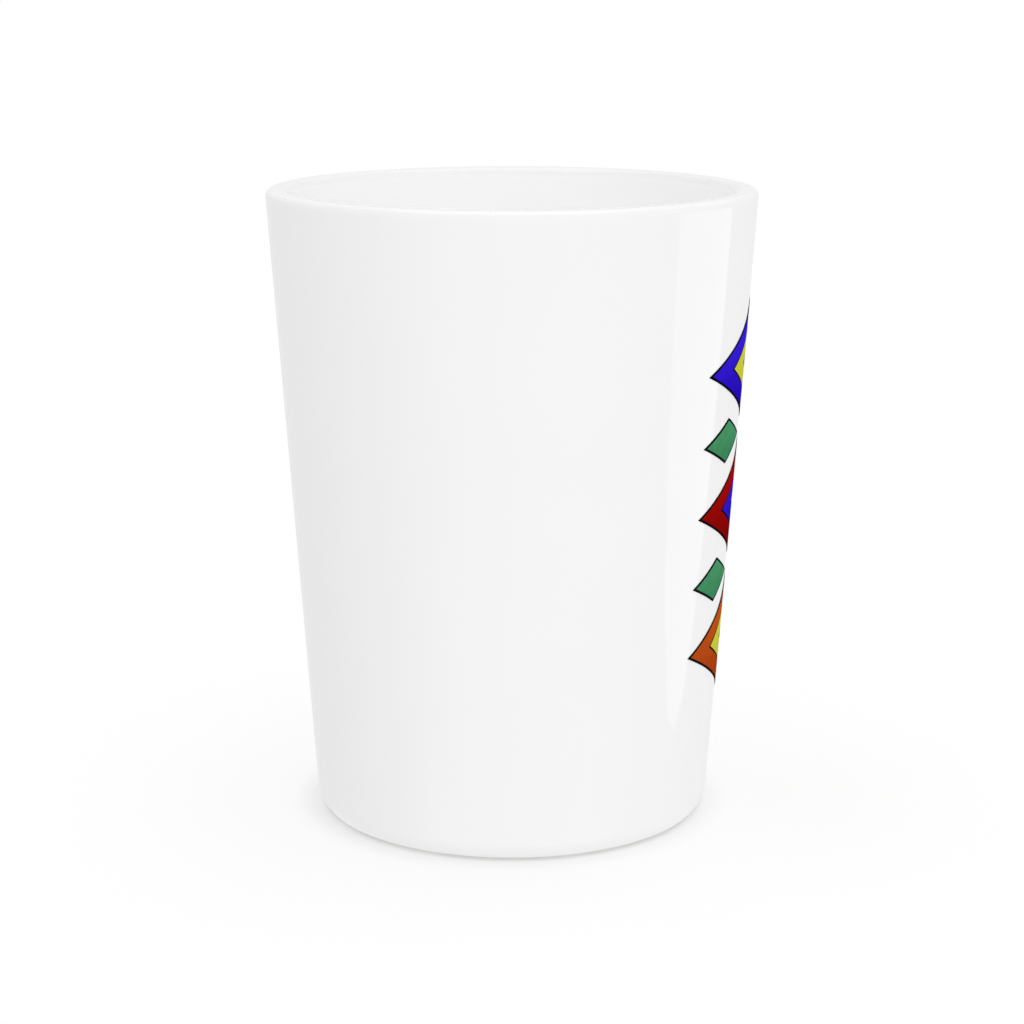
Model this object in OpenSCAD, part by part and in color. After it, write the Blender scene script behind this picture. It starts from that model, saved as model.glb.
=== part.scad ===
// Straight-sided ceramic shot glass: a fired clay body, its white glaze, and a printed
// design of stacked lozenges on one side. Millimetres, +Z up, origin under the foot.

/* [Cup] */
// Height from the table to the top of the lip
height = 60; // [50:0.5:80]
// Outside diameter of the wall, carried up to the height of the lip
lip_d = 46.2; // [43:0.1:60]
// Outside diameter of the wall, carried down to the table
foot_d = 38; // [35:0.1:44]
// Thickness of the glazed wall at the lip
lip_wall = 2.2; // [1.8:0.1:3.5]
// Thickness of the glazed wall level with the floor
foot_wall = 4.2; // [2.5:0.1:6]
// Height of the glazed floor above the table
floor_z = 8; // [4:0.1:14]
// Rounding between the floor and the wall, inside
floor_r = 7; // [3:0.1:12]

/* [Lip] */
// Rounding of the lip's outer edge, over the glaze
lip_outer_r = 0.7; // [0.4:0.05:0.9]
// Rounding of the lip's inner edge, over the glaze
lip_inner_r = 0.8; // [0.4:0.05:0.9]

/* [Foot] */
// Rounding of the foot's outer edge, on the clay
foot_r = 2; // [0.8:0.1:3]
// Width of the flat bare ring that stands on the table
ring_w = 2.4; // [1.5:0.1:5]
// Height of the glazed recess inside the ring
recess_h = 1.4; // [0.8:0.1:2.5]
// Lean of the recess's side from upright, in degrees
recess_lean = 35; // [15:1:55]

/* [Glaze] */
// Thickness of the glaze
glaze_t = 0.3; // [0.15:0.05:0.35]
// Height above the table where the glaze stops, outside and in the recess
glaze_stop = 0.25; // [0.2:0.05:0.7]

/* [Print] */
// Thickness of the printed colours
print_t = 0.06; // [0.04:0.01:0.15]
// Distance from the top of the lip down to the design
print_below_lip = 9.3; // [4:0.1:14]
// Distance from the table up to the design
print_above_table = 10.7; // [5:0.1:16]
// Width of the design at its top row, straight across
print_w = 26; // [20:0.5:31]
// Width of the dark lines round the colours
line_w = 0.2; // [0.1:0.05:0.7]
// White gap between the points of neighbouring lozenges
point_gap = 0.8; // [0.4:0.1:2]
// White gap between the large lozenges and the small ones beside them
side_gap = 1.8; // [1:0.1:2.6]

/* [Hidden] */
$fn = 192;

// Points drawn along a quarter round of the profile
ARC_STEPS = 12;
// Colours of the lozenges from the top of the design down, each from its edge to its middle
LOZENGES = [["blue", "yellow", "red"], ["red", "blue", "yellow"], ["orange", "yellow", "blue"]];
BANDS = len(LOZENGES[0]);

// Outer and inner faces of the glazed wall, as radius at a height
outer_lean = atan((lip_d - foot_d) / 2 / height);
function outer_x(z) = foot_d / 2 + z * tan(outer_lean);
lip_inner_x = lip_d / 2 - lip_wall;
floor_inner_x = outer_x(floor_z) - foot_wall;
inner_lean = atan((lip_inner_x - floor_inner_x) / (height - floor_z));
function inner_x(z) = lip_inner_x - (height - z) * tan(inner_lean);

// Centres of the profile's roundings
lip_outer_c = [outer_x(height - lip_outer_r) - lip_outer_r / cos(outer_lean), height - lip_outer_r];
lip_inner_c = [inner_x(height - lip_inner_r) + lip_inner_r / cos(inner_lean), height - lip_inner_r];
floor_c = [inner_x(floor_z + floor_r) - floor_r / cos(inner_lean), floor_z + floor_r];
foot_c = [outer_x(foot_r) - (foot_r + glaze_t) / cos(outer_lean), foot_r];
lip_crest_x = (lip_outer_c.x + lip_inner_c.x) / 2;

// Recess under the foot, from the ring's inner edge to its roof
ring_inner_x = foot_c.x - ring_w;
roof_z = recess_h + glaze_t;
function recess_x(z, depth) = ring_inner_x - z * tan(recess_lean) - depth / cos(recess_lean);

function arc(centre, r, from, to) =
    [for (i = [0:ARC_STEPS]) let (a = from + (to - from) * i / ARC_STEPS) centre + r * [cos(a), sin(a)]];

// Angle round the foot at which the outside glaze stops
stop_angle = -asin((foot_c.y - glaze_stop) / (foot_r + glaze_t));

// Outside of the cup from the crest of the lip down to an angle round the foot, at a depth under the glaze
function outside(depth, foot_angle) = concat(
    [[lip_crest_x, height - depth]],
    arc(lip_outer_c, lip_outer_r - depth, 90, -outer_lean),
    arc(foot_c, foot_r + glaze_t - depth, -outer_lean, foot_angle));

// Inside of the cup from the middle of the floor up to the crest of the lip, at a depth under the glaze
function inside(depth) = concat(
    [[0, floor_z - depth]],
    arc(floor_c, floor_r + depth, -90, -inner_lean),
    arc(lip_inner_c, lip_inner_r - depth, 180 - inner_lean, 90),
    [[lip_crest_x, height - depth]]);

// Underside of the clay from the ring's inner edge to the middle of the recess
underside = [[ring_inner_x, 0], [recess_x(roof_z, 0), roof_z], [0, roof_z]];

function reversed(points) = [for (i = [len(points) - 1:-1:0]) points[i]];

module turned(points) rotate_extrude() polygon(points);

module ceramic_body() color("linen")
    turned(concat(inside(glaze_t), outside(glaze_t, -90), underside));

module outer_glaze() color("white")
    turned(concat(outside(0, stop_angle), reversed(outside(glaze_t, stop_angle))));

module inner_glaze() color("white")
    turned(concat(inside(0), reversed(inside(glaze_t))));

module recess_glaze() color("white")
    turned([[0, roof_z], [recess_x(roof_z, 0), roof_z], [recess_x(glaze_stop, 0), glaze_stop],
            [recess_x(glaze_stop, glaze_t), glaze_stop], [recess_x(recess_h, glaze_t), recess_h],
            [0, recess_h]]);

// Sizes of the design, drawn flat with its middle at the origin
print_h = height - print_below_lip - print_above_table;
print_z = print_above_table + print_h / 2;
pitch = print_h / len(LOZENGES);
half_h = (pitch - point_gap) / 2;

// Distance from the middle of a lozenge of two half widths to its sides
function inner_r(a, b) = a * b / norm([a, b]);

// Middle of a row of lozenges, and the design's half width there, which narrows with the cup.
// A row between two whole numbers lies between two rows of large lozenges.
function row_y(row) = print_h / 2 - pitch * (row + 0.5);
function half_w(row) = print_w / 2 * outer_x(print_z + row_y(row)) / outer_x(print_z + row_y(0));
function side_half_w(row) = half_w(row) * (1 - side_gap / inner_r(half_w(row), half_h)) / 2;

// Layer of print that the design is cut from, on the side of the cup that faces +X
module print_layer() {
    low = print_above_table - point_gap;
    high = height - print_below_lip + point_gap;
    t = print_t / cos(outer_lean);
    rotate_extrude(angle = 180, start = -90)
        polygon([[outer_x(low), low], [outer_x(low) + t, low],
                 [outer_x(high) + t, high], [outer_x(high), high]]);
}

module on_wall() intersection() {
    print_layer();
    translate([0, 0, print_z]) rotate([90, 0, 90]) linear_extrude(lip_d) children();
}

module lozenge(a, b) polygon([[a, 0], [0, b], [-a, 0], [0, -b]]);

// Part of a lozenge between two distances in from its edge
module lozenge_ring(a, b, from, to) {
    r = inner_r(a, b);
    difference() {
        lozenge(a * (1 - from / r), b * (1 - from / r));
        if (to < r) lozenge(a * (1 - to / r), b * (1 - to / r));
    }
}

// Part of a large lozenge between two distances in from its edge
module large_ring(row, from, to) translate([0, row_y(row)]) lozenge_ring(half_w(row), half_h, from, to);

// Part of each small lozenge between two distances in from its edge
module side_rings(from, to)
    for (row = [0.5:len(LOZENGES) - 1.5], side = [-1, 1])
        translate([side * (half_w(row) - side_half_w(row)), row_y(row)])
            lozenge_ring(side_half_w(row), side_half_w(row) * half_h / half_w(row), from, to);

// Distance in from a large lozenge's edge to the start of one of its bands
function band_start(row, band) = inner_r(half_w(row), half_h) * band / BANDS;

module ink(name)
    for (row = [0:len(LOZENGES) - 1], band = [0:BANDS - 1])
        if (LOZENGES[row][band] == name)
            large_ring(row, band_start(row, band) + line_w, band_start(row, band + 1));

module print_blue() color("#3b22e8") on_wall() ink("blue");

module print_red() color("#b0120d") on_wall() ink("red");

module print_yellow() color("#d6d53c") on_wall() ink("yellow");

module print_orange() color("#c9591c") on_wall() ink("orange");

// half_h reaches past the middle of a small lozenge, so that its line is filled
module print_green() color("#4a9462") on_wall() side_rings(line_w, half_h);

module print_lines() color("#17151f") on_wall() {
    for (row = [0:len(LOZENGES) - 1], band = [0:BANDS - 1])
        large_ring(row, band_start(row, band), band_start(row, band) + line_w);
    side_rings(0, line_w);
}

ceramic_body();
outer_glaze();
inner_glaze();
recess_glaze();
print_blue();
print_red();
print_yellow();
print_orange();
print_green();
print_lines();
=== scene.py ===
"""White glazed ceramic shot glass with a printed column of lozenges, standing on a pale table."""
import math

import bpy
from mathutils import Matrix, Vector


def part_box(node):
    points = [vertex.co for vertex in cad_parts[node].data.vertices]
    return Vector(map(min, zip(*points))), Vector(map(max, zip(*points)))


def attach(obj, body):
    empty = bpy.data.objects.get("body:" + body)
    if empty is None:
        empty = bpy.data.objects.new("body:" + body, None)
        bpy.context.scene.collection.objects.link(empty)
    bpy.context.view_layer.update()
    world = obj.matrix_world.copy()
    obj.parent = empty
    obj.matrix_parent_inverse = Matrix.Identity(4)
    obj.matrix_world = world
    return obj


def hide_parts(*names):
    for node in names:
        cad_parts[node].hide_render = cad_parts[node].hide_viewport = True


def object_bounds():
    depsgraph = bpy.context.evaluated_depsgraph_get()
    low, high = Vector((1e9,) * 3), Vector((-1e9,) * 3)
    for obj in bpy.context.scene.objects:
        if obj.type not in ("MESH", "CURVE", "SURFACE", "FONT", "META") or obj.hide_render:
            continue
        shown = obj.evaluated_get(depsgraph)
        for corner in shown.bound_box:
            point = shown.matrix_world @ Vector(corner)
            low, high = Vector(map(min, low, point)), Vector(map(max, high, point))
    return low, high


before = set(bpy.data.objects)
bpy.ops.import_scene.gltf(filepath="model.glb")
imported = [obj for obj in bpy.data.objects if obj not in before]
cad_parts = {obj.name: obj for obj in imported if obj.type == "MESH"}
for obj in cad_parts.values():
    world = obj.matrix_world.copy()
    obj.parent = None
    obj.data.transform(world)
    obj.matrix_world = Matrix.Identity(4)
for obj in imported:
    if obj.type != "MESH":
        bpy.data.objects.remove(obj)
CAD_LOW, CAD_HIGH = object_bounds()

MM = 0.001

# Sizes of the cup, the same as those of its solids
HEIGHT = CAD_HIGH.z
LIP_D = 46.2 * MM
FOOT_D = 38 * MM
LIP_WALL = 2.2 * MM
FOOT_WALL = 4.2 * MM
FLOOR_R = 7 * MM
LIP_OUTER_R = 0.7 * MM
LIP_INNER_R = 0.8 * MM
FOOT_R = 2 * MM
RING_W = 2.4 * MM
RECESS_LEAN = math.radians(35)
GLAZE_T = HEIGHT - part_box("ceramic_body")[1].z
GLAZE_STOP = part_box("outer_glaze")[0].z
FLOOR_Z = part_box("inner_glaze")[0].z + GLAZE_T
ROOF_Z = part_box("recess_glaze")[1].z
RECESS_H = ROOF_Z - GLAZE_T

# Roundings too small for the solids
POOL_R = 0.7 * MM
RING_EDGE_R = 0.25 * MM

# Fineness of the turned meshes
SEGMENTS = 288
ARC_STEP = math.radians(5)
WALL_RINGS = 28
FLOOR_RINGS = 5
WELD = 0.0005 * MM
CREASE = math.radians(40)

# Printed design
POINT_GAP = 0.8 * MM
LOZENGE_COUNT = 3
PRINT_LOW, PRINT_HIGH = (corner.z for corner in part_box("print_lines"))
LOZENGE_PITCH = (PRINT_HIGH - PRINT_LOW + POINT_GAP) / LOZENGE_COUNT

# Colours of the finishes, linear
GLAZE_WHITE = (0.988, 0.988, 0.988)
GLAZE_DRIFT = (0.982, 0.983, 0.984)
# Colour of the thinned glaze over the lip, made darker grey than thin glaze would be, as painted shade
GLAZE_THIN_AND_SHADE = (0.77, 0.768, 0.764)
SPECK_GREY = (0.55, 0.53, 0.50)
CLAY_PALE = (0.82, 0.808, 0.786)
CLAY_DARK = (0.74, 0.725, 0.70)
CLAY_RUB = (0.50, 0.485, 0.465)

# Heights between which the glaze thins out over the lip and is darkened there as painted shade, and how far
# it then shows that thin, shaded colour at the inner face of the wall and at the outer one
THIN_AND_SHADE_FROM_Z = HEIGHT - 0.8 * MM
THIN_AND_SHADE_TO_Z = HEIGHT - 0.2 * MM
THIN_AND_SHADE_SHARE_INSIDE = 0.62
THIN_AND_SHADE_SHARE_OUTSIDE = 0.4

# Glaze: its drifts of tone and of gloss, its specks, and the waves of its skin
GLAZE_CLOUD_SIZE = 9 * MM
GLOSS_CLOUD_SIZE = 4 * MM
GLOSS_ROUGHNESS = (0.03, 0.05)
SPECK_PITCH = 2.5 * MM
SPECK_R = 0.11 * MM
SPECK_STRENGTH = 0.35
GLAZE_WAVE = 3 * MM
GLAZE_WAVE_DEPTH = 0.004 * MM

# Clay: its drifts of tone, its grit, its rubbed foot and its grain
CLAY_CLOUD_SIZE = 5 * MM
CLAY_ROUGHNESS = (0.75, 0.9)
GRIT_PITCH = 0.5 * MM
GRIT_R = 0.12 * MM
GRIT_SHARE = 0.4
GRIT_STRENGTH = 0.35
RUB_HEIGHT = 0.3 * MM
RUB_STRENGTH = 0.25
GRAIN_SIZE = 0.25 * MM
GRAIN_DEPTH = 0.03 * MM
GRAIN_STRENGTH = 0.6

# Ink: how it deepens down each lozenge, its mottle, its pinholes and the waves of its skin
INK_DEEPENING = 0.85
INK_DEEP_SHARE = 0.15
INK_LIGHT_SHARE = 0.85
MOTTLE_SIZE = 0.9 * MM
MOTTLE_STRENGTH = 0.15
INK_ROUGHNESS = (0.5, 0.65)
PINHOLE_PITCH = 0.8 * MM
PINHOLE_R = 0.05 * MM
PINHOLE_SHARE = 0.12
PINHOLE_STRENGTH = 0.5
INK_WAVE = 1.2 * MM
INK_WAVE_DEPTH = 0.003 * MM

# Photograph's viewpoint
CAMERA_PLACE = Vector((0, -0.2293, 0.08135))
CAMERA_PITCH = math.radians(12.94)
CAMERA_LENS = 85.54
CAMERA_SENSOR = 36

# Profile of the cup: (radius, height) points

OUTER_LEAN = math.atan2((LIP_D - FOOT_D) / 2, HEIGHT)


def outer_x(z):
    return FOOT_D / 2 + z * math.tan(OUTER_LEAN)


LIP_INNER_X = LIP_D / 2 - LIP_WALL
FLOOR_INNER_X = outer_x(FLOOR_Z) - FOOT_WALL
INNER_LEAN = math.atan2(LIP_INNER_X - FLOOR_INNER_X, HEIGHT - FLOOR_Z)


def inner_x(z):
    return LIP_INNER_X - (HEIGHT - z) * math.tan(INNER_LEAN)


def rounding_centre(face_x, lean, z, out):
    """Centre of a rounding at a height, square out from a face of the wall by a distance."""
    return Vector((face_x(z) + out / math.cos(lean), z))


LIP_OUTER_C = rounding_centre(outer_x, OUTER_LEAN, HEIGHT - LIP_OUTER_R, -LIP_OUTER_R)
LIP_INNER_C = rounding_centre(inner_x, INNER_LEAN, HEIGHT - LIP_INNER_R, LIP_INNER_R)
LIP_CREST_X = (LIP_OUTER_C.x + LIP_INNER_C.x) / 2
FLOOR_C = rounding_centre(inner_x, INNER_LEAN, FLOOR_Z + FLOOR_R, -FLOOR_R)
FOOT_C = rounding_centre(outer_x, OUTER_LEAN, FOOT_R, -(FOOT_R + GLAZE_T))
RING_INNER_X = FOOT_C.x - RING_W

DOWN = -math.pi / 2
UP = math.pi / 2


def recess_x(z, depth):
    """Radius of the recess's side at a height, at a depth into the recess."""
    return RING_INNER_X - z * math.tan(RECESS_LEAN) - depth / math.cos(RECESS_LEAN)


RECESS_ROOF = [Vector((recess_x(ROOF_Z, 0), ROOF_Z)), Vector((0, ROOF_Z))]


def arc(centre, radius, start, end):
    steps = max(4, math.ceil(abs(end - start) / ARC_STEP))
    angles = [start + (end - start) * i / steps for i in range(steps + 1)]
    return [centre + radius * Vector((math.cos(a), math.sin(a))) for a in angles]


def wall(start, end):
    """Points inside a straight stretch, bunched towards its ends so that the roundings there stay crisp."""
    shares = [(1 - math.cos(math.pi * i / WALL_RINGS)) / 2 for i in range(1, WALL_RINGS)]
    return [start.lerp(end, share) for share in shares]


def flat(z, x):
    """Points of a level disc from the axis out to a radius, without its rim."""
    return [Vector((x * i / FLOOR_RINGS, z)) for i in range(FLOOR_RINGS)]


def outside(depth, foot_angle):
    """From an angle round the foot up the outside to the crest of the lip, at a depth under the glaze."""
    foot = arc(FOOT_C, FOOT_R + GLAZE_T - depth, foot_angle, -OUTER_LEAN)
    lip = arc(LIP_OUTER_C, LIP_OUTER_R - depth, -OUTER_LEAN, UP)
    return foot + wall(foot[-1], lip[0]) + lip + [Vector((LIP_CREST_X, HEIGHT - depth))]


def inside(depth):
    """From the crest of the lip down the inside to the middle of the floor, at a depth under the glaze."""
    lip = arc(LIP_INNER_C, LIP_INNER_R - depth, UP, math.pi - INNER_LEAN)
    bend = arc(FLOOR_C, FLOOR_R + depth, -INNER_LEAN, DOWN)
    floor = flat(FLOOR_Z - depth, FLOOR_C.x)[::-1]
    return [Vector((LIP_CREST_X, HEIGHT - depth))] + lip + wall(lip[-1], bend[0]) + bend + floor


def outer_glaze_profile():
    """Coat from a rounded lower edge just above the table up to the crest of the lip."""
    bead_r = GLAZE_T / 2
    stop = -math.asin((FOOT_C.y - GLAZE_STOP - bead_r) / (FOOT_R + bead_r))
    bead_c = FOOT_C + (FOOT_R + bead_r) * Vector((math.cos(stop), math.sin(stop)))
    bead = arc(bead_c, bead_r, stop - math.pi, stop)
    return outside(0, stop) + outside(GLAZE_T, stop)[::-1] + bead[1:-1]


def inner_glaze_profile():
    """Lining from the crest of the lip down to the floor."""
    return inside(GLAZE_T)[::-1] + inside(0)


def recess_glaze_profile():
    """Coat of the recess: level roof, a pooled bend, the leaning side and its rounded lower edge."""
    pool_c = Vector((recess_x(RECESS_H - POOL_R, GLAZE_T + POOL_R), RECESS_H - POOL_R))
    pool = arc(pool_c, POOL_R, UP, RECESS_LEAN)
    bead_r = GLAZE_T / 2
    bead_c = Vector((recess_x(GLAZE_STOP + bead_r, bead_r), GLAZE_STOP + bead_r))
    bead = arc(bead_c, bead_r, RECESS_LEAN - math.pi, RECESS_LEAN)
    return flat(RECESS_H, pool_c.x) + pool + bead + RECESS_ROOF


def clay_profile():
    """Clay under the coats, closed below by the recess and the flat ring that it stands on."""
    edge_c = Vector((RING_INNER_X + RING_EDGE_R * math.tan((UP - RECESS_LEAN) / 2), RING_EDGE_R))
    ring_edge = arc(edge_c, RING_EDGE_R, RECESS_LEAN - math.pi, DOWN)
    return RECESS_ROOF[::-1] + ring_edge + outside(GLAZE_T, DOWN) + inside(GLAZE_T)[1:]


def turned(name, profile):
    """Closed mesh of a profile turned about the cup's axis. One that starts on the axis also ends there."""
    angles = [2 * math.pi * i / SEGMENTS for i in range(SEGMENTS)]
    points = []
    rings = []
    for x, z in profile:
        on_axis = x < WELD
        first = len(points)
        points += [(0, 0, z)] if on_axis else [(x * math.cos(a), x * math.sin(a), z) for a in angles]
        rings.append([first] * SEGMENTS if on_axis else list(range(first, first + SEGMENTS)))
    faces = []
    for ring, next_ring in zip(rings, rings[1:] + ([] if profile[0].x < WELD else rings[:1])):
        for i in range(SEGMENTS):
            corners = (ring[i - 1], ring[i], next_ring[i], next_ring[i - 1])
            faces.append(list(dict.fromkeys(corners)))
    mesh = bpy.data.meshes.new(name)
    mesh.from_pydata(points, [], faces)
    mesh.shade_smooth()
    mesh.set_sharp_from_angle(angle=CREASE)
    piece = bpy.data.objects.new(name, mesh)
    bpy.context.scene.collection.objects.link(piece)
    return piece


# Shader nodes

def add(tree, kind, inputs=None, **settings):
    """New node with its settings, and its inputs set to values or linked to other nodes' outputs."""
    node = tree.nodes.new("ShaderNode" + kind)
    for key, value in settings.items():
        setattr(node, key, value)
    for key, value in (inputs or {}).items():
        if isinstance(value, bpy.types.NodeSocket):
            tree.links.new(value, node.inputs[key])
        else:
            node.inputs[key].default_value = value
    return node


def maths(tree, operation, first, second=0.0):
    """Result of a Math node on one or two values."""
    return add(tree, "Math", {0: first, 1: second}, operation=operation).outputs[0]


def ramp(tree, value, low, high, at_low=0.0, at_high=1.0):
    """Smooth change of a value between two limits."""
    limits = {"Value": value, "From Min": low, "From Max": high, "To Min": at_low, "To Max": at_high}
    return add(tree, "MapRange", limits, interpolation_type="SMOOTHSTEP").outputs["Result"]


def blend_colours(tree, share, first, second):
    """Mix of two colours, each a linear triple or another node's output."""
    first, second = (c if isinstance(c, bpy.types.NodeSocket) else (*c, 1) for c in (first, second))
    mixed = add(tree, "Mix", {0: share, 6: first, 7: second}, data_type="RGBA")
    return mixed.outputs[2]


def new_group(name, inputs, output):
    """Empty shader group with a Vector and other number inputs, and one number output."""
    group = bpy.data.node_groups.new(name, "ShaderNodeTree")
    group.interface.new_socket("Vector", in_out="INPUT", socket_type="NodeSocketVector")
    for label in inputs:
        group.interface.new_socket(label, in_out="INPUT", socket_type="NodeSocketFloat")
    group.interface.new_socket(output, in_out="OUTPUT", socket_type="NodeSocketFloat")
    entry = group.nodes.new("NodeGroupInput")
    leave = group.nodes.new("NodeGroupOutput")
    return group, entry.outputs, leave.inputs[output]


def kiln_cloud_group():
    """Soft drifts over a fired surface, from 0 to 1, of about a size."""
    group, given, result = new_group("kiln_cloud", ["Size"], "Cloud")
    scale = maths(group, "DIVIDE", 1, given["Size"])
    noise = add(group, "TexNoise", {"Vector": given["Vector"], "Scale": scale, "Detail": 3, "Roughness": 0.5})
    group.links.new(ramp(group, noise.outputs["Fac"], 0.32, 0.68), result)
    return group


def kiln_specks_group():
    """Round specks of a radius, at most one to each cell of a pitch, in a share of the cells."""
    group, given, result = new_group("kiln_specks", ["Pitch", "Radius", "Share"], "Specks")
    scale = maths(group, "DIVIDE", 1, given["Pitch"])
    cells = add(group, "TexVoronoi", {"Vector": given["Vector"], "Scale": scale})
    reach = maths(group, "MULTIPLY", cells.outputs["Distance"], given["Pitch"])
    inside_speck = ramp(group, maths(group, "DIVIDE", reach, given["Radius"]), 0.5, 1, 1, 0)
    draw = add(group, "SeparateColor", {"Color": cells.outputs["Color"]}).outputs["Red"]
    chosen = maths(group, "LESS_THAN", draw, given["Share"])
    group.links.new(maths(group, "MULTIPLY", inside_speck, chosen), result)
    return group


def ripple_group():
    """Height of a shallow rippled skin, in shares of its depth, with waves of about a size."""
    group, given, result = new_group("ripple", ["Size"], "Height")
    scale = maths(group, "DIVIDE", 1, given["Size"])
    noise = add(group, "TexNoise", {"Vector": given["Vector"], "Scale": scale, "Detail": 1, "Roughness": 0.4})
    group.links.new(noise.outputs["Fac"], result)
    return group


KILN_CLOUD = kiln_cloud_group()
KILN_SPECKS = kiln_specks_group()
RIPPLE = ripple_group()


def placed(tree, group, output, **inputs):
    """Output of a shared effect placed in a material, over the piece's own coordinates."""
    place = add(tree, "TexCoord").outputs["Object"]
    return add(tree, "Group", {"Vector": place, **inputs}, node_tree=group).outputs[output]


def new_material(name, **shader_values):
    """Material with a Principled shader whose plain values are set, and the tree that it stands in."""
    material = bpy.data.materials.new(name)
    material.use_nodes = True
    tree = material.node_tree
    shader = tree.nodes["Principled BSDF"]
    for key, value in shader_values.items():
        shader.inputs[key.replace("_", " ")].default_value = value
    return material, tree, shader


def height_of(tree):
    """Height above the table over the piece."""
    place = add(tree, "TexCoord").outputs["Object"]
    return add(tree, "SeparateXYZ", {"Vector": place}).outputs["Z"]


def radius_of(tree):
    """Distance from the cup's axis over the piece."""
    place = add(tree, "TexCoord").outputs["Object"]
    level = add(tree, "VectorMath", {0: place, 1: (1, 1, 0)}, operation="MULTIPLY").outputs["Vector"]
    return add(tree, "VectorMath", {0: level}, operation="LENGTH").outputs["Value"]


def glaze_material(name, speck_share):
    """Glossy white glaze: faint drifts, rare specks, thinner and darkened as painted shade over the lip, with
    a barely rippled skin.
    """
    material, tree, shader = new_material(name, IOR=1.5)
    cloud = placed(tree, KILN_CLOUD, "Cloud", Size=GLAZE_CLOUD_SIZE)
    specks = placed(tree, KILN_SPECKS, "Specks", Pitch=SPECK_PITCH, Radius=SPECK_R, Share=speck_share)
    # Painted shade: the top of the lip darkens beyond its thinner glaze, more on the inner face than the
    # outer
    share = ramp(tree, radius_of(tree), LIP_INNER_X, LIP_D / 2, THIN_AND_SHADE_SHARE_INSIDE, THIN_AND_SHADE_SHARE_OUTSIDE)
    thin_and_shade = maths(tree, "MULTIPLY", ramp(tree, height_of(tree), THIN_AND_SHADE_FROM_Z, THIN_AND_SHADE_TO_Z), share)
    colour = blend_colours(tree, cloud, GLAZE_WHITE, GLAZE_DRIFT)
    colour = blend_colours(tree, thin_and_shade, colour, GLAZE_THIN_AND_SHADE)
    colour = blend_colours(tree, maths(tree, "MULTIPLY", specks, SPECK_STRENGTH), colour, SPECK_GREY)
    gloss = ramp(tree, placed(tree, KILN_CLOUD, "Cloud", Size=GLOSS_CLOUD_SIZE), 0, 1, *GLOSS_ROUGHNESS)
    skin = placed(tree, RIPPLE, "Height", Size=GLAZE_WAVE)
    bump = add(tree, "Bump", {"Height": skin, "Strength": 1, "Distance": GLAZE_WAVE_DEPTH})
    tree.links.new(colour, shader.inputs["Base Color"])
    tree.links.new(gloss, shader.inputs["Roughness"])
    tree.links.new(bump.outputs["Normal"], shader.inputs["Normal"])
    return material


def clay_material():
    """Bare fired clay: pale, matt and finely sandy, rubbed grey where it stands."""
    material, tree, shader = new_material("bare_clay", Specular_IOR_Level=0.3)
    cloud = placed(tree, KILN_CLOUD, "Cloud", Size=CLAY_CLOUD_SIZE)
    grit = placed(tree, KILN_SPECKS, "Specks", Pitch=GRIT_PITCH, Radius=GRIT_R, Share=GRIT_SHARE)
    colour = blend_colours(tree, cloud, CLAY_PALE, CLAY_DARK)
    colour = blend_colours(tree, maths(tree, "MULTIPLY", grit, GRIT_STRENGTH), colour, CLAY_RUB)
    rub = maths(tree, "MULTIPLY", ramp(tree, height_of(tree), 0, RUB_HEIGHT, RUB_STRENGTH, 0), cloud)
    colour = blend_colours(tree, rub, colour, CLAY_RUB)
    grain = placed(tree, RIPPLE, "Height", Size=GRAIN_SIZE)
    bump = add(tree, "Bump", {"Height": grain, "Strength": GRAIN_STRENGTH, "Distance": GRAIN_DEPTH})
    tree.links.new(colour, shader.inputs["Base Color"])
    tree.links.new(ramp(tree, cloud, 0, 1, *CLAY_ROUGHNESS), shader.inputs["Roughness"])
    tree.links.new(bump.outputs["Normal"], shader.inputs["Normal"])
    return material


def screen_colour(red, green, blue):
    """Linear colour of 8-bit screen values."""
    shares = (value / 255 for value in (red, green, blue))
    return tuple(s / 12.92 if s <= 0.04045 else ((s + 0.055) / 1.055) ** 2.4 for s in shares)


def ink_material(name, light, deep, phase):
    """Matt print ink that deepens towards the foot of each lozenge, a little mottled, with rare pinholes."""
    material, tree, shader = new_material(name, Specular_IOR_Level=0)
    up = maths(tree, "DIVIDE", maths(tree, "SUBTRACT", height_of(tree), PRINT_LOW), LOZENGE_PITCH)
    share = maths(tree, "FRACT", maths(tree, "ADD", up, phase))
    mottle = placed(tree, KILN_CLOUD, "Cloud", Size=MOTTLE_SIZE)
    pinholes = placed(tree, KILN_SPECKS, "Specks", Pitch=PINHOLE_PITCH, Radius=PINHOLE_R, Share=PINHOLE_SHARE)
    deepening = ramp(tree, share, INK_DEEP_SHARE, INK_LIGHT_SHARE, INK_DEEPENING, 0)
    depth = maths(tree, "ADD", deepening, maths(tree, "MULTIPLY", mottle, MOTTLE_STRENGTH))
    colour = blend_colours(tree, depth, light, deep)
    colour = blend_colours(tree, maths(tree, "MULTIPLY", pinholes, PINHOLE_STRENGTH), colour, GLAZE_WHITE)
    skin = placed(tree, RIPPLE, "Height", Size=INK_WAVE)
    bump = add(tree, "Bump", {"Height": skin, "Strength": 1, "Distance": INK_WAVE_DEPTH})
    tree.links.new(colour, shader.inputs["Base Color"])
    tree.links.new(ramp(tree, mottle, 0, 1, *INK_ROUGHNESS), shader.inputs["Roughness"])
    tree.links.new(bump.outputs["Normal"], shader.inputs["Normal"])
    return material


# Pieces of the cup

def dress(piece, node, material):
    """The piece stands for a node of the solid model, with its own finish."""
    piece.data.materials.append(material)
    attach(piece, "root")
    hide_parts(node)


dress(turned("clay_cup", clay_profile()), "ceramic_body", clay_material())
dress(turned("outside_glaze", outer_glaze_profile()), "outer_glaze",
      glaze_material("glaze_outside", 0.02))
dress(turned("inside_glaze", inner_glaze_profile()), "inner_glaze",
      glaze_material("glaze_inside", 0.03))
dress(turned("recess_glaze_coat", recess_glaze_profile()), "recess_glaze",
      glaze_material("glaze_recess", 0.06))

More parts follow.
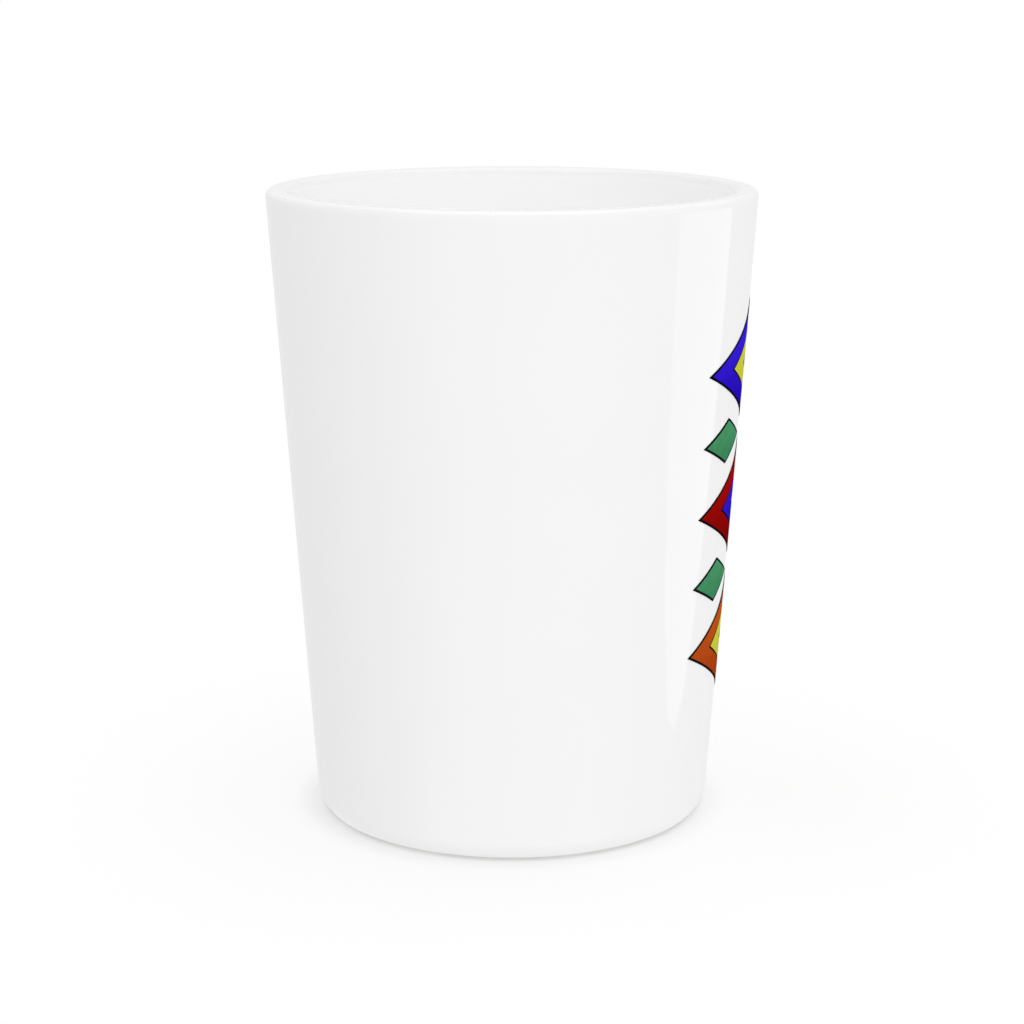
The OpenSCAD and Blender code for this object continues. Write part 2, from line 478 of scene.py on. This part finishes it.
# Each printed node's colour at the top and at the foot of a lozenge, and how far its lozenges are shifted
# from the large ones, in shares of their pitch
INKS = {
    "print_blue": (screen_colour(62, 36, 240), screen_colour(34, 10, 176), 0),
    "print_red": (screen_colour(178, 14, 10), screen_colour(126, 6, 4), 0),
    "print_yellow": (screen_colour(222, 224, 76), screen_colour(194, 196, 50), 0),
    "print_orange": (screen_colour(208, 92, 30), screen_colour(166, 60, 16), 0),
    "print_green": (screen_colour(86, 168, 116), screen_colour(54, 124, 82), 0.5),
    "print_lines": (screen_colour(20, 18, 26), screen_colour(10, 9, 14), 0),
}
for node_name, (light, deep, phase) in INKS.items():
    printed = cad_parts[node_name]
    printed.data.materials.clear()
    printed.data.materials.append(ink_material("ink_" + node_name, light, deep, phase))


# Table, light and camera

def stage_piece(name, corners, material):
    """One flat face that isn't part of the cup."""
    mesh = bpy.data.meshes.new(name)
    mesh.from_pydata(corners, [], [range(len(corners))])
    mesh.materials.append(material)
    piece = bpy.data.objects.new(name, mesh)
    bpy.context.scene.collection.objects.link(piece)
    return piece


def shows_background(tree):
    """1 on the rays that show the white background: from the camera, or by way of gloss or glass."""
    path = add(tree, "LightPath").outputs
    bent = maths(tree, "MAXIMUM", path["Is Glossy Ray"], path["Is Transmission Ray"])
    return maths(tree, "MAXIMUM", path["Is Camera Ray"], bent)


TABLE_WHITE = (0.973, 0.973, 0.973)
TABLE_HALF_W = 20
TABLE_Z = -0.02 * MM

# Share of plain white in the table that shows: close round the foot, and further off
TABLE_NEAR = 0.05
TABLE_MIDDLE = 0.62
TABLE_EDGE_R = FOOT_D / 2 - 0.3 * MM
TABLE_MIDDLE_R = FOOT_D / 2 + 2.9 * MM
TABLE_FAR_R = 120 * MM


def table_material():
    """White table that takes the cup's shadow and turns into plain white away from it."""
    material = bpy.data.materials.new("table_white")
    material.use_nodes = True
    tree = material.node_tree
    tree.nodes.clear()
    place = add(tree, "TexCoord").outputs["Object"]
    distance = add(tree, "VectorMath", {0: place}, operation="LENGTH").outputs["Value"]
    matt = add(tree, "BsdfDiffuse", {"Color": (*TABLE_WHITE, 1)}).outputs["BSDF"]
    glow = add(tree, "Emission", {"Color": (1, 1, 1, 1), "Strength": 1}).outputs["Emission"]
    near = ramp(tree, distance, TABLE_EDGE_R, TABLE_MIDDLE_R, TABLE_NEAR, TABLE_MIDDLE)
    far = ramp(tree, distance, TABLE_MIDDLE_R, TABLE_FAR_R, 0, 1 - TABLE_MIDDLE)
    white = maths(tree, "MULTIPLY", maths(tree, "ADD", near, far), shows_background(tree))
    mixed = add(tree, "MixShader", {0: white, 1: matt, 2: glow}).outputs["Shader"]
    add(tree, "OutputMaterial", {"Surface": mixed})
    return material


def make_table():
    ways = ((-1, -1), (1, -1), (1, 1), (-1, 1))
    corners = [(TABLE_HALF_W * x, TABLE_HALF_W * y, TABLE_Z) for x, y in ways]
    table = stage_piece("table", corners, table_material())
    table.visible_glossy = False
    table.visible_diffuse = False
    table.visible_shadow = False


def reflected_panel(name, corners, strength):
    """Evenly bright panel of the studio that is seen only in the gloss of the cup."""
    material = bpy.data.materials.new(name + "_glow")
    material.use_nodes = True
    tree = material.node_tree
    tree.nodes.clear()
    glow = add(tree, "Emission", {"Color": (1, 1, 1, 1), "Strength": strength}).outputs["Emission"]
    add(tree, "OutputMaterial", {"Surface": glow})
    panel = stage_piece(name, corners, material)
    panel.visible_camera = False
    panel.visible_diffuse = False
    panel.visible_shadow = False


# Softbox on the right, with a round lower end
SOFTBOX_TURN = math.radians(104)
SOFTBOX_DISTANCE = 0.5
SOFTBOX_MIDDLE = -0.025
SOFTBOX_HALF_W = 0.177
SOFTBOX_TOP_Z = 0.0
SOFTBOX_ROUND_Z = -0.06
SOFTBOX_ROUND_H = 0.133
SOFTBOX_STRENGTH = 1.5


def make_softbox():
    spots = [Vector((1, SOFTBOX_TOP_Z)), Vector((-1, SOFTBOX_TOP_Z))]
    lower_end = arc(Vector((0, 0)), 1, -math.pi, 0)
    spots += [Vector((x, SOFTBOX_ROUND_Z + SOFTBOX_ROUND_H * y)) for x, y in lower_end]
    away = Vector((math.sin(SOFTBOX_TURN), -math.cos(SOFTBOX_TURN), 0)) * SOFTBOX_DISTANCE
    along = Vector((math.cos(SOFTBOX_TURN), math.sin(SOFTBOX_TURN), 0))
    corners = [away + along * (SOFTBOX_MIDDLE + SOFTBOX_HALF_W * x) + Vector((0, 0, z)) for x, z in spots]
    reflected_panel("softbox", corners, SOFTBOX_STRENGTH)


# Dimmer walls of the room, which draw the edges of the cup against the white
ROOM_HALF_W = 0.8
ROOM_LOW_Z = -0.5
ROOM_HIGH_Z = 0.6
ROOM_WALL_STRENGTH = 0.88


def make_room_walls():
    low, high = Vector((0, 0, ROOM_LOW_Z)), Vector((0, 0, ROOM_HIGH_Z))
    for side in range(4):
        turn = Matrix.Rotation(side * UP, 3, "Z")
        left, right = (turn @ Vector((x, ROOM_HALF_W, 0)) for x in (-ROOM_HALF_W, ROOM_HALF_W))
        corners = [left + low, right + low, right + high, left + high]
        reflected_panel(f"room_wall_{side}", corners, ROOM_WALL_STRENGTH)


LAMP_PLACE = Vector((0, 0, 0.95))
LAMP_SIZE = (0.95, 0.8)
LAMP_POWER = 2.2


def make_overhead_lamp():
    light = bpy.data.lights.new("overhead_lamp", "AREA")
    light.shape = "RECTANGLE"
    light.size, light.size_y = LAMP_SIZE
    light.energy = LAMP_POWER
    lamp = bpy.data.objects.new("overhead_lamp", light)
    lamp.location = LAMP_PLACE
    lamp.rotation_euler = (Vector((0, 0, HEIGHT / 2)) - lamp.location).to_track_quat("-Z", "Y").to_euler()
    bpy.context.scene.collection.objects.link(lamp)


# Times that light may bounce about inside the white cup
LIGHT_BOUNCES = 24

# Light of the room: its level from the sides, what the front and the back add to that, and how much
# it grows along each axis
ROOM_LEVEL = 0.672
ROOM_ENDS = 0.31
ROOM_LEAN = (0.085, -0.06, 0.07)


def make_world():
    """Soft room light, stronger from the front, the back, the right and above, and a white background."""
    world = bpy.data.worlds.new("white_room")
    world.use_nodes = True
    tree = world.node_tree
    tree.nodes.clear()
    way = add(tree, "TexCoord").outputs["Generated"]
    slope = add(tree, "VectorMath", {0: way, 1: ROOM_LEAN}, operation="DOT_PRODUCT").outputs["Value"]
    depth = maths(tree, "ABSOLUTE", add(tree, "SeparateXYZ", {"Vector": way}).outputs["Y"])
    ends = maths(tree, "MULTIPLY", depth, ROOM_ENDS)
    level = maths(tree, "ADD", maths(tree, "ADD", slope, ends), ROOM_LEVEL)
    room = add(tree, "Background", {"Color": (1, 1, 1, 1), "Strength": level}).outputs["Background"]
    white = add(tree, "Background", {"Color": (1, 1, 1, 1), "Strength": 1}).outputs["Background"]
    mixed = add(tree, "MixShader", {0: shows_background(tree), 1: room, 2: white}).outputs["Shader"]
    add(tree, "OutputWorld", {"Surface": mixed})
    bpy.context.scene.world = world


def make_camera():
    data = bpy.data.cameras.new("photo_camera")
    data.lens = CAMERA_LENS
    data.sensor_width = CAMERA_SENSOR
    data.clip_start = 0.01
    camera = bpy.data.objects.new("photo_camera", data)
    camera.location = CAMERA_PLACE
    camera.rotation_euler = (UP - CAMERA_PITCH, 0, 0)
    bpy.context.scene.collection.objects.link(camera)
    bpy.context.scene.camera = camera


make_table()
make_softbox()
make_room_walls()
make_overhead_lamp()
make_world()
make_camera()
bpy.context.scene.view_settings.view_transform = "Standard"
bpy.context.scene.cycles.diffuse_bounces = LIGHT_BOUNCES
bpy.context.scene.cycles.max_bounces = LIGHT_BOUNCES
